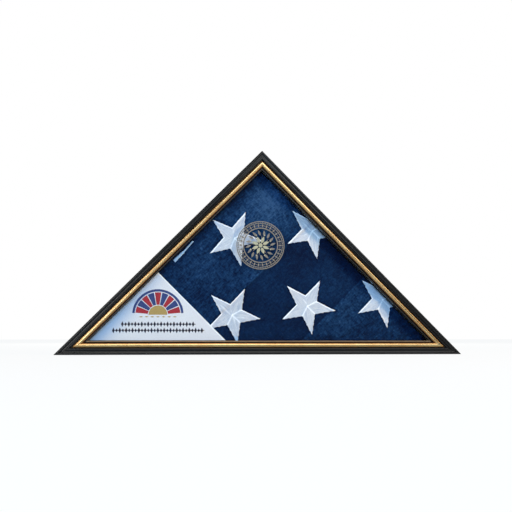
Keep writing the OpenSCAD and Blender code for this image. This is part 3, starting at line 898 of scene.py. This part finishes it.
def starArm(tipDeg, phase):
    # a kite from a star's centre to one tip, as a grid of flat points; also each point's distance from the
    # outer edges, and the painted highlight on their borders; phase shifts the waves of the frayed edge
    s = starField
    even = np.linspace(0, 1, s["patch"])
    steps = even - 0.8 * np.sin(2 * math.pi * even) / (2 * math.pi)  # closer at the rim and at the seams
    a, b = np.meshgrid(steps, steps, indexing="ij")
    tip = heading(tipDeg) * s["diameter"] / 2
    one, two = notchRadius() * heading(tipDeg - 36), notchRadius() * heading(tipDeg + 36)
    flat = (a * (1 - b))[..., None] * one + (a * b)[..., None] * tip + ((1 - a) * b)[..., None] * two
    slant = np.linalg.norm(tip - one) * math.sin(math.radians(54))
    away, glow = np.full_like(a, slant), np.zeros_like(a)
    for side, along, far in ((-72, b, (1 - a) * slant), (72, a, (1 - b) * slant)):
        away = np.minimum(away, far)
        lit = math.cos(math.radians(tipDeg + side - s["litFrom"]))
        # painted highlight along the border, strongest where the edge faces the light
        glow += np.exp(-(far / s["border"]) ** 4) * np.clip(0.35 + 0.65 * lit, 0, 1)
        waves = enumerate(s["jagWaves"], 1)
        wave = sum(share * np.sin(along * rate + k * (phase + side)) for k, (share, rate) in waves)
        fray = s["jag"] * (1.0 if lit < 0 else s["jagLit"]) * wave
        fray = fray * np.sqrt(np.sin(math.pi * np.clip(along, 0, 1)).clip(0))
        flat = flat + (fray * np.exp(-(far / s["jagIn"]) ** 2))[..., None] * heading(tipDeg + side)
    return flat, away, glow


def makeStar(index, x0, z0, turn, material):
    # five arms that lie on the cloth, raised along their borders and seams, each with an under side
    s = starField
    n = s["patch"]
    rng = np.random.default_rng(100 + index)
    tops, bottoms, uvs, borders, paintedShades = [], [], [], [], []
    for arm in range(5):
        tipDeg = s["firstTip"] + turn + 72 * arm
        flat, away, glow = starArm(tipDeg, index * 1.7 + arm * 2.1)
        seam = seamLevel(flat, turn)
        raised = s["thick"] / 2 * smoothStep(0, 0.5 * mm, away)
        raised += s["borderH"] * np.exp(-((away - 1.3 * mm) / (0.9 * mm)) ** 2)
        raised += s["seamH"] * seam * smoothStep(1 * mm, 3 * mm, away)
        rim = away < 1e-7
        x, z = x0 + flat[..., 0], z0 + flat[..., 1]
        tops.append(flagFacePoint(x, z, np.where(rim, 0, raised + 0.05 * mm)))
        bottoms.append(flagFacePoint(x, z, np.where(rim, 0, -s["sunk"])))
        along, across = flat @ heading(tipDeg), flat @ heading(tipDeg + 90)
        uvs.append(np.stack([along + rng.uniform(0, 1), across + arm], -1))
        # painted highlight on the borders and on the seams that stand up
        borders.append(np.clip(glow + 0.95 * np.maximum(seam, 0), 0, 1))
        # painted shade of the frame near its sides
        paintedShades.append(frameShade(x, z))
    verts = np.concatenate([np.reshape(p, (-1, 3)) for p in tops + bottoms])
    patches = [gridFaces(n, n, start=k * n * n) for k in range(10)]
    patches[5:] = [quads[:, ::-1] for quads in patches[5:]]
    faces = [quads[:, corners] for quads in patches for corners in ([0, 1, 2], [0, 2, 3])]
    uv = np.concatenate([np.reshape(p, (-1, 2)) for p in uvs + uvs])
    levels = {"border": np.ravel(borders + borders), "tint": np.ravel(paintedShades + paintedShades)}
    piece = makePiece(f"flag_star_{index + 1}", verts, faces, material, uv, levels, 70)
    faceOutwards(piece, 0.02 * mm)
    return piece


def makeEdgeStar(material):
    # the strip of a star that the fold leaves in sight along the left leg
    count, wide = 60, 7  # points along and across it
    rows = np.array(starField["edge"]) * mm
    along = np.linspace(rows[0, 0], rows[-1, 0], count)
    outer, inner = (np.interp(-along, -rows[:, 0], rows[:, k]) for k in (1, 2))
    share = np.linspace(0, 1, wide)
    inset = outer[:, None] + (inner - outer)[:, None] * share
    ends = np.sin(np.linspace(0, math.pi, count)) ** 0.15
    raised = 0.9 * mm * np.sin(share * math.pi)[None, :] ** 0.5 * ends[:, None]
    along = np.broadcast_to(along[:, None], inset.shape)
    flat = onSide("left", along, inset, np.zeros_like(inset))
    top = flagFacePoint(flat[..., 0], flat[..., 2], raised)
    sunk = np.where(raised > 0.02 * mm, -starField["sunk"], 0)
    under = flagFacePoint(flat[..., 0], flat[..., 2], sunk)
    verts = np.concatenate([top.reshape(-1, 3), under.reshape(-1, 3)])
    faces = [gridFaces(count, wide), gridFaces(count, wide, start=count * wide)[:, ::-1]]
    uv = np.tile(np.stack([along, inset], -1).reshape(-1, 2), (2, 1))
    # the strip takes a faint painted highlight on its border and mostly the frame's painted shade
    levels = {"border": np.full(len(verts), 0.1), "tint": np.full(len(verts), 0.9)}
    piece = makePiece("flag_star_edge", verts, faces, material, uv, levels, 70)
    faceOutwards(piece, 0.02 * mm)


def makeFlag():
    makeFlagBundle(navyCotton())
    stitched = whiteThread()
    places = starField["stars"]
    stars = [makeStar(k, x * mm, z * mm, turn, stitched) for k, (x, z, turn) in enumerate(places)]
    makeEdgeStar(stitched)
    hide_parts("flag_stars")
    print("flag bundle and", len(stars), "stars")


makeFlag()

# the card in the corner

card = {
    "bevel": 0.5 * mm, "lift": 0.06 * mm,
    "rings": (30 * mm, 22 * mm, 14 * mm, 8 * mm, 4 * mm, 2.2 * mm, 1.5 * mm),  # insets of the front's rings
    # shade is the colour of the frame's painted shadow along the card's left edge
    "board": ((0.64, 0.61, 0.66), (0.68, 0.65, 0.68)), "shade": (0.27, 0.40, 0.62), "cut": (0.78, 0.79, 0.82),
    # cut is the colour of the painted highlight along the card's right edge
    "edgeHighlightReach": (1.9 * mm, 1.4 * mm),
    "wideShade": 0.9, "wideReach": 40 * mm, "wideAlong": (150 * mm, 20 * mm),  # a wide painted shadow of the frame by the left tip
    "thinShade": 0.25, "thinReach": 20 * mm,  # and a thin painted shadow up the whole edge
    "red": (0.36, 0.008, 0.02), "blue": (0.022, 0.040, 0.17), "gold": (0.42, 0.27, 0.08),
    "dark": (0.012, 0.010, 0.03),
    "rays": 9, "lowDeg": 4, "rayGapDeg": 1.2,
    "fanCentre": (109 * mm, 41 * mm),  # from the card's left tip, along its foot and up
    "fanR": (15 * mm, 36 * mm, 41 * mm),  # the sun, the rays and the arch over them
    "waves": 7, "wavePitch": 9 * mm, "waveDrop": 3.2 * mm, "wave": (3.6 * mm, 1.1 * mm),  # under the sun
    "rules": ((26 * mm, 118 * mm), (16 * mm, 146 * mm)),  # height and length of each ornament rule
    "beadPitch": 5 * mm, "beadHalfW": 2.2 * mm, "beadHalfH": (4.6 * mm, 3.0 * mm),  # tall and short in turn
    "linkDrop": 6 * mm, "linkR": (5.5 * mm, 6.5 * mm), "linkDeg": (76, 104),  # small arcs between the beads
}


def printedInk(name, color, scale=900, detail=2, darkest=0.8, **sockets):
    # one colour with fine darker flecks
    finish = Finish(name, color, 0.6, **sockets)
    fleck = finish.noise(scale, detail)
    finish.color(finish.ramp(fleck, [(0.3, tuple(c * darkest for c in color)), (0.7, color)]))
    return finish.material


def whiteCard():
    # smooth white board, with a cool painted shadow along its left edge and a painted highlight along its
    # right edge
    finish = Finish("whiteCard", (0.80, 0.83, 0.88), 0.45)
    tooth = finish.noise(1400, 3)
    cloud = finish.noise(12, 2)
    board = finish.ramp(cloud, [(0.3, card["board"][0]), (0.7, card["board"][1])])
    # painted shadow of the frame along the left edge
    board = finish.mix(finish.attribute("paintedLeftShadow"), board, card["shade"])
    # painted highlight along the right edge
    finish.color(finish.mix(finish.attribute("paintedEdgeHighlight"), board, card["cut"]))
    finish.bump(tooth, 0.00003, 0.4)
    finish.roughness(tooth, 0.35, 0.55)
    return finish.material


def makeCard():
    # a right triangle with a bevelled front edge: rings from the middle out over the edge to the back
    width = cardHigh.x - cardLow.x
    corners = np.array([[0, 0], [width, 0], [width / 2, width / 2]])
    middle = np.array([width / 2, width * (root2 - 1) / 2])
    steps = np.linspace(0, 1, 40, endpoint=False)[:, None]
    base = np.concatenate([corners[k] + (corners[(k + 1) % 3] - corners[k]) * steps for k in range(3)])
    reach = middle[1]
    insets = np.array([reach * 0.85, *card["rings"], card["bevel"], 0, 0])
    depths = np.array([cardLow.y] * (len(insets) - 2) + [cardLow.y + card["bevel"], cardHigh.y])
    rings = middle + (base[None] - middle) * (1 - insets[:, None, None] / reach)
    levels = np.broadcast_to(depths[:, None], rings.shape[:2])
    verts = np.stack([cardLow.x + rings[..., 0], levels, cardLow.z + rings[..., 1]], -1).reshape(-1, 3)
    poles = [[cardLow.x + middle[0], y, cardLow.z + middle[1]] for y in (cardLow.y, cardHigh.y)]
    verts = np.concatenate([verts, poles])
    faces = closedRings(len(insets), len(base))
    x, z = verts[:, 0] - cardLow.x, verts[:, 2] - cardLow.z
    fromRight, fromLeft = (width - x - z) / root2, (x - z) / root2
    # painted shadow of the frame: wide by the left tip, thin up the whole left edge
    wide = smoothStep(card["wideReach"], 0, fromLeft) ** 1.5 * smoothStep(*card["wideAlong"], x)
    paintedLeftShadow = card["wideShade"] * wide + card["thinShade"] * smoothStep(card["thinReach"], 0, fromLeft)
    # the band by the right edge is a painted highlight
    tones = {"paintedEdgeHighlight": smoothStep(*card["edgeHighlightReach"], fromRight), "paintedLeftShadow": np.clip(paintedLeftShadow, 0, 1)}
    piece = makePiece("corner_card_board", verts, faces, whiteCard(), attributes=tones, sharpDeg=20)
    faceOutwards(piece)
    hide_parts("corner_card")


class FlatArt:
    # flat shapes on a plane that faces the viewer; each call adds one, in metres from the plane's own origin
    def __init__(self, originX, originZ, y, thick):
        self.origin = (originX, originZ)
        self.y, self.thick = y, thick
        self.verts, self.faces, self.count = [], [], 0

    def add(self, points, quads):
        # front and back sheets of the same grid, joined round their open edges by a rim
        points = np.asarray(points, float).reshape(-1, 2)
        n = len(points)
        for y in (self.y - self.thick, self.y):
            level = np.stack([points[:, 0] + self.origin[0], np.full(n, y), points[:, 1] + self.origin[1]], 1)
            self.verts.append(level)
        quads = np.asarray(quads)
        nextCorner = np.roll(quads, -1, 1)
        edges = [edge for k in range(quads.shape[1]) for edge in zip(quads[:, k], nextCorner[:, k])]
        both = set(edges)
        rim = np.array([(a, b) for a, b in edges if (b, a) not in both])
        wall = np.stack([rim[:, 1], rim[:, 0], rim[:, 0] + n, rim[:, 1] + n], 1)
        self.faces += [quads + self.count, quads[:, ::-1] + n + self.count, wall + self.count]
        self.count += 2 * n

    def band(self, centre, r0, r1, degrees, closed=False):
        # a strip between two radii through the given angles
        ways = np.stack([heading(a) for a in degrees])
        points = np.concatenate([centre + r0 * ways, centre + r1 * ways])
        self.add(points, gridFaces(2, len(ways), closed))

    def sector(self, centre, r0, r1, a0, a1, steps):
        self.band(centre, r0, r1, np.linspace(a0, a1, steps + 1))

    def ring(self, centre, r0, r1, steps=96):
        self.band(centre, r0, r1, np.linspace(0, 360, steps, endpoint=False), True)

    def lozenge(self, centre, along, across, turnDeg=0.0):
        u, v = heading(turnDeg) * along, heading(turnDeg + 90) * across
        self.add([centre - u, centre - v, centre + u, centre + v], [[0, 1, 2, 3]])

    def disc(self, centre, radius, steps=24):
        rim = [centre + radius * heading(a) for a in np.linspace(0, 360, steps, endpoint=False)]
        c = np.arange(steps)
        fan = np.stack([np.full(steps, steps), c, (c + 1) % steps], 1)
        self.add(rim + [centre], fan)

    def leaf(self, base, length, width, turnDeg, steps=10):
        # two mirrored arcs: half width times sine of the share along the leaf
        t = np.linspace(0, 1, steps + 1)
        half = np.outer(width / 2 * np.sin(math.pi * t ** 0.8), heading(turnDeg + 90))
        spine = np.asarray(base) + np.outer(t * length, heading(turnDeg))
        self.add(np.concatenate([spine - half, spine + half]), gridFaces(2, steps + 1))

    def piece(self, name, material, slotName):
        made = makePiece(name, np.concatenate(self.verts), self.faces, material, sharpDeg=20)
        faceOutwards(made, 0.002 * mm)


def makeCardPrint():
    # a rising sun over waves in red, white, blue and gold, and two ornament rules under it
    colours = ("red", "blue", "gold", "dark")
    printY = cardLow.y - card["lift"] / 2
    art = {name: FlatArt(cardLow.x, cardLow.z, printY, card["lift"]) for name in colours}
    centre = np.array(card["fanCentre"])
    r0, r1, r2 = card["fanR"]
    low, gap = card["lowDeg"], card["rayGapDeg"]
    wide = (180 - 2 * low) / card["rays"]
    for k in range(card["rays"]):
        ray = art["red"] if k % 2 == 0 else art["blue"]
        ray.sector(centre, r0 + 1 * mm, r1, low + k * wide + gap, low + (k + 1) * wide - gap, 8)
    art["blue"].sector(centre, r1 + 1.2 * mm, r2, low, 180 - low, 60)
    art["gold"].sector(centre, 0.5 * mm, r0, 0, 180, 40)
    for k in range(card["waves"]):
        aside = (k - (card["waves"] - 1) / 2) * card["wavePitch"]
        art["gold"].lozenge(centre + np.array([aside, -card["waveDrop"]]), *card["wave"])
    for height, length in card["rules"]:
        beads = int(length / card["beadPitch"])
        for k in range(beads):
            x = centre[0] + (k - (beads - 1) / 2) * length / beads
            art["dark"].lozenge(np.array([x, height]), card["beadHalfW"], card["beadHalfH"][k % 2])
            below = np.array([x + length / beads / 2, height - card["linkDrop"]])
            art["dark"].sector(below, *card["linkR"], *card["linkDeg"], 4)
    for name in colours:
        art[name].piece("card_print_" + name, printedInk("print" + name.title(), card[name]), "card")


makeCard()
makeCardPrint()
print("card and its print")

# the emblem on the glass

emblem = {
    "centre": (-1.5 * mm, 176.5 * mm), "radius": 39.3 * mm, "thick": 0.06 * mm, "clearance": 0.1 * mm,
    "rimW": 1.4 * mm, "rings": ((0.895, 0.92), (0.69, 0.735)), "hub": 0.085,  # in shares of the radius
    # how many of each, how far out as a share of the radius, and its half sizes or length and width
    "rope": (60, 0.934765, 1.5 * mm, 0.5 * mm), "ropeLean": 55,
    "chain": (30, 0.815, 2.9 * mm, 1.7 * mm), "chainDotR": 0.75 * mm,
    "leaves": (16, 0.40, 0.25, 3.6 * mm), "leafLean": 24,
    "petals": (8, 0.10, 0.29, 5.0 * mm), "sepals": (0.14, 0.30, 1.2 * mm), "berries": (0.45, 1.0 * mm),
    "tan": (0.28, 0.24, 0.21), "cream": (0.50, 0.46, 0.33),
    "tanAlpha": 0.8, "creamAlpha": 0.9,  # the ink is translucent
}


def turns(count, offset=0.0):
    # evenly spaced angles in degrees, the first at a share of one step
    return (np.arange(count) + offset) * 360 / count


def makeEmblem():
    # rings, a chain of lozenges between them, and a wreathed rosette in the middle
    e = emblem
    centre = np.zeros(2)
    r = e["radius"]
    inkY = glassBackY + e["clearance"]
    tan = FlatArt(*e["centre"], inkY, e["thick"])
    cream = FlatArt(*e["centre"], inkY - 0.001 * mm, e["thick"])
    tan.ring(centre, r - e["rimW"], r)
    for inner, outer in e["rings"]:
        tan.ring(centre, r * inner, r * outer)
    count, out, along, across = e["rope"]
    for a in turns(count):
        tan.lozenge(heading(a) * r * out, along, across, a + e["ropeLean"])
    count, out, along, across = e["chain"]
    for a in turns(count):
        tan.lozenge(heading(a) * r * out, along, across, a)
        tan.disc(heading(a + 180 / count) * r * out, e["chainDotR"], 10)
    count, out, length, width = e["leaves"]
    for a in turns(count):
        tan.leaf(heading(a) * r * out, r * length, width, a + e["leafLean"])
    count, out, length, width = e["petals"]
    sepalOut, sepalLength, sepalWidth = e["sepals"]
    berryOut, berryR = e["berries"]
    for a in turns(count, 0.5):
        cream.leaf(heading(a) * r * out, r * length, width, a)
        cream.disc(heading(a) * r * berryOut, berryR, 12)
        tan.leaf(heading(a) * r * sepalOut, r * sepalLength, sepalWidth, a + 180 / count)
    cream.disc(centre, r * e["hub"], 24)
    tanInk = printedInk("emblemTan", e["tan"], 600, 3, 0.75, Alpha=e["tanAlpha"])
    tan.piece("emblem_tan", tanInk, "glass")
    creamInk = printedInk("emblemCream", e["cream"], 600, 3, 0.75, Alpha=e["creamAlpha"])
    cream.piece("emblem_cream", creamInk, "glass")


makeEmblem()
print("emblem on the glass")

# stage

stage = {
    "floorHalf": 6.0, "floorColor": (0.25, 0.25, 0.25),
    "floorInGloss": (0.42, 0.42, 0.42),  # its colour where gloss mirrors it
    "floorGlow": 0.75, "floorGlowLevel": 1.19,  # how much of it the camera sees lit by itself, and how bright
    "ambient": (0.57, 0.85, 1.0),  # the world's light on surfaces
    "mirrored": (0.07, 0.08, 0.10),  # the world as gloss mirrors it
    "aim": (0, 0, 0.14),  # where every lamp points
    "unseenInGloss": ("key", "fill", "back"),  # and the lamps named gloss only show as reflections
    "lamps": [  # name, place, width, height, watts, colour
        ("key", (1.75, -1.28, 0.62), 0.6, 0.6, 56, (1.0, 0.68, 0.36)),
        ("fill", (-0.3, -2.6, 0.9), 1.5, 1.5, 43, (0.40, 0.64, 1.0)),
        ("glossFront", (-0.66, -1.8, 0.35), 0.6, 0.6, 3.6, (1.0, 1.0, 1.0)),
        ("glossTopLow", (0.2, -1.4, 0.74), 1.2, 0.38, 3.0, (0.95, 1.0, 1.0)),
        ("glossTop", (0.2, -1.1, 1.1), 1.2, 0.6, 5.2, (1.0, 1.0, 0.95)),
        ("glossOver", (0.0, -0.5, 1.5), 0.6, 0.6, 2.2, (1.0, 0.90, 0.75)),
        ("glossLeft", (-1.0, -0.8, 0.95), 0.6, 0.6, 2.2, (1.0, 0.95, 0.9)),
        ("glossRight", (1.0, -0.8, 0.95), 0.6, 0.6, 1.7, (0.95, 1.0, 1.0)),
        ("glossRightEdge", (1.4, -0.3, 0.9), 0.6, 0.6, 1.6, (1.0, 0.85, 0.6)),
        ("glossBack", (0.25, 2.4, 0.75), 1.2, 1.2, 9, (1.0, 0.95, 0.88)),
        ("back", (0.25, 2.4, 0.75), 1.2, 1.2, 36, (1.0, 0.90, 0.78)),
    ],
}


def makeFloor():
    half = stage["floorHalf"]
    mesh = bpy.data.meshes.new("floor")
    corners = [(x * half, y * half, 0) for x, y in ((-1, -1), (1, -1), (1, 1), (-1, 1))]
    mesh.from_pydata(corners, [], [(0, 1, 2, 3)])
    finish = Finish("paleFloor", stage["floorColor"], 0.9)
    glow = finish.node("Emission", Strength=stage["floorGlowLevel"])
    path = finish.node("LightPath")
    finish.color(finish.mix(path.outputs["Is Glossy Ray"], stage["floorColor"], stage["floorInGloss"]))
    mixed = finish.node("MixShader")
    share = finish.times(path.outputs["Is Camera Ray"], stage["floorGlow"])
    finish.link(share, mixed.inputs[0])
    finish.link(finish.shader.outputs[0], mixed.inputs[1])
    finish.link(glow.outputs[0], mixed.inputs[2])
    finish.link(mixed.outputs[0], finish.tree.nodes["Material Output"].inputs["Surface"])
    mesh.materials.append(finish.material)
    floor = bpy.data.objects.new("floor", mesh)
    bpy.context.scene.collection.objects.link(floor)


def makeWorld():
    # ambient light, but the mirrored tone in gloss, and white behind the case and through the glass
    world = bpy.data.worlds.new("world")
    bpy.context.scene.world = world
    world.use_nodes = True
    nodes, links = world.node_tree.nodes, world.node_tree.links
    path = nodes.new("ShaderNodeLightPath")
    tone = None
    white = (1, 1, 1)
    for ray, color in (("Glossy", stage["mirrored"]), ("Transmission", white), ("Camera", white)):
        made = nodes.new("ShaderNodeMix")
        made.data_type = "RGBA"
        links.new(path.outputs[f"Is {ray} Ray"], made.inputs[0])
        made.inputs[7].default_value = (*color, 1)
        if tone is None:
            made.inputs[6].default_value = (*stage["ambient"], 1)
        else:
            links.new(tone, made.inputs[6])
        tone = made.outputs[2]
    background = nodes["Background"]
    background.inputs["Strength"].default_value = 1.0
    links.new(tone, background.inputs["Color"])


def makeLamps():
    for name, place, width, height, watts, color in stage["lamps"]:
        data = bpy.data.lights.new(name, "AREA")
        data.shape = "ELLIPSE" if width == height else "RECTANGLE"
        data.size, data.size_y = width, height
        data.energy = watts
        data.color = color
        lamp = bpy.data.objects.new(name, data)
        lamp.location = place
        lamp.visible_glossy = name not in stage["unseenInGloss"]
        if name.startswith("gloss"):
            lamp.visible_diffuse = False
            data.cycles.max_bounces = 0
        aim = Vector(stage["aim"]) - Vector(place)
        lamp.rotation_euler = aim.to_track_quat("-Z", "Y").to_euler()
        bpy.context.scene.collection.objects.link(lamp)


makeFloor()
makeWorld()
makeLamps()
bpy.context.scene.view_settings.view_transform = "Standard"
print("stage")
